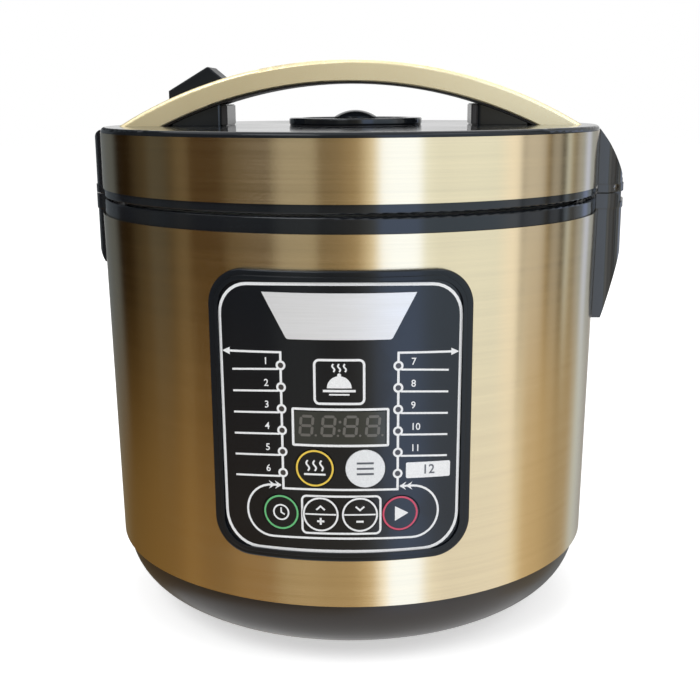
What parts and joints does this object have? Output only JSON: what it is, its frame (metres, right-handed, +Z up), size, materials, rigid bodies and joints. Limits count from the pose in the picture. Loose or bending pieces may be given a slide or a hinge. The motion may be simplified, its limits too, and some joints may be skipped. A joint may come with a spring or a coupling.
{
  "type": "yogurt maker",
  "caption": "Round multicooker that makes yogurt: gold steel body with a key panel and display, hinged lid with arched handle, release lever and steam vent, and a pot inside.",
  "frame": {"origin": "on the standing surface, under the middle of the bounding box; the upright axis of the round body is at x = -4.2 mm, because the hinge lug stands out further than the latch lug", "axes": "+Z up, control panel faces -Y, lid hinge on the +X side and latch on the -X side"},
  "size_m": [0.2894, 0.2701, 0.2929],
  "materials": {
    "black_satin": "satin black, fine grain",
    "foot_rubber": "matt rubber",
    "steel": "plain steel",
    "gold_steel": "brushed round the body, gold tint",
    "black_gloss": "glossy black",
    "zinc_steel": "galvanised sheet",
    "cast_aluminium": "cast, machined face",
    "pot_coating": "non-stick coating on aluminium",
    "sheet_aluminium": "satin sheet",
    "spring_steel": "spring wire",
    "panel_black": "glossy black film",
    "silver_plate": "brushed silver",
    "smoke_lens": "smoked lens",
    "light_lens": "small light lens",
    "board_green": "circuit board lacquer",
    "module_dark": "display case",
    "key_black": "glossy black",
    "key_white": "glossy white",
    "pan_grey": "grey inner pan",
    "silicone": "translucent grey silicone",
    "gold_paint": "satin champagne gold"
  },
  "bodies": {
    "cooker": {"base_housing": "black_satin", "base_feet": "foot_rubber", "base_screws": "steel", "body_shell": "gold_steel", "rim_ring": "black_gloss", "inner_liner": "zinc_steel", "heating_plate": "cast_aluminium", "heater_screws": "steel", "inner_pot": "pot_coating", "sensor_bracket": "zinc_steel", "sensor_spring": "spring_steel", "panel_bezel": "black_gloss", "panel_face": "panel_black", "badge_plate": "silver_plate", "display_window": "smoke_lens", "indicator_lenses": "light_lens", "control_board": "board_green", "display_module": "module_dark", "key_switches": "module_dark", "power_board": "board_green", "power_inlet": "black_satin", "inlet_pins": "steel", "hinge_bracket": "black_gloss", "hinge_pin": "steel", "catch_housing": "black_gloss", "strike_plate": "steel"},
    "lid": {"lid_ring": "black_gloss", "lid_band": "gold_steel", "lid_cover": "black_gloss", "lid_liner": "pan_grey", "inner_lid": "sheet_aluminium", "inner_lid_nut": "black_satin", "lid_seal": "silicone", "hinge_cover": "black_gloss", "latch_housing": "black_gloss", "handle_arch": "gold_paint", "handle_grip": "black_satin", "handle_support_left": "black_gloss", "handle_support_right": "black_gloss", "handle_screws": "steel", "lever_pin": "steel", "latch_pin": "steel", "latch_spring": "spring_steel", "vent_cup": "black_satin"},
    "lever": {"release_lever": "black_gloss"},
    "latch": {"latch_link": "black_satin"},
    "steam_vent": {"vent_cap": "black_gloss", "vent_knob": "black_gloss", "vent_gasket": "silicone"},
    "sensor": {"pot_sensor": "sheet_aluminium"},
    "key_warm_body": {"key_warm": "key_black"},
    "key_menu_body": {"key_menu": "key_white"},
    "key_preset_body": {"key_preset": "key_black"},
    "key_plus_body": {"key_plus": "key_black"},
    "key_minus_body": {"key_minus": "key_black"},
    "key_start_body": {"key_start": "key_black"}
  },
  "joints": [
    {"name": "lid_hinge", "type": "hinge", "parent": "cooker", "child": "lid", "pos_m": [0.1385, 0, 0.226], "axis": [0, 1, 0], "range_deg": [0, 85]},
    {"name": "lever_press", "type": "hinge", "parent": "lid", "child": "lever", "pos_m": [-0.09741, 0, 0.2695], "axis": [0, 1, 0], "range_deg": [0, 9], "stiffness_Nm_per_rad": 0.4, "springref_deg": -8.59},
    {"name": "latch_swing", "type": "hinge", "parent": "lid", "child": "latch", "pos_m": [-0.1298, 0, 0.2445], "axis": [0, 1, 0], "range_deg": [0, 3.6], "deforming": ["latch_spring"]},
    {"name": "vent_lift", "type": "slide", "parent": "lid", "child": "steam_vent", "axis": [0, 0, 1], "range_m": [0, 0.008]},
    {"name": "sensor_press", "type": "slide", "parent": "cooker", "child": "sensor", "axis": [0, 0, -1], "range_m": [0, 0.002], "stiffness_N_per_m": 400, "springref_m": -0.003, "deforming": ["sensor_spring"]},
    {"name": "key_warm_press", "type": "slide", "parent": "cooker", "child": "key_warm_body", "axis": [0, 1, 0], "range_m": [0, 0.0008], "stiffness_N_per_m": 500, "springref_m": -0.001},
    {"name": "key_menu_press", "type": "slide", "parent": "cooker", "child": "key_menu_body", "axis": [0, 1, 0], "range_m": [0, 0.0008], "stiffness_N_per_m": 500, "springref_m": -0.001},
    {"name": "key_preset_press", "type": "slide", "parent": "cooker", "child": "key_preset_body", "axis": [0, 1, 0], "range_m": [0, 0.0008], "stiffness_N_per_m": 500, "springref_m": -0.001},
    {"name": "key_plus_press", "type": "slide", "parent": "cooker", "child": "key_plus_body", "axis": [0, 1, 0], "range_m": [0, 0.0008], "stiffness_N_per_m": 500, "springref_m": -0.001},
    {"name": "key_minus_press", "type": "slide", "parent": "cooker", "child": "key_minus_body", "axis": [0, 1, 0], "range_m": [0, 0.0008], "stiffness_N_per_m": 500, "springref_m": -0.001},
    {"name": "key_start_press", "type": "slide", "parent": "cooker", "child": "key_start_body", "axis": [0, 1, 0], "range_m": [0, 0.0008], "stiffness_N_per_m": 500, "springref_m": -0.001}
  ],
  "couplings": [
    {"joint": "latch_swing", "follows": "lever_press", "ratio": 0.389}
  ]
}
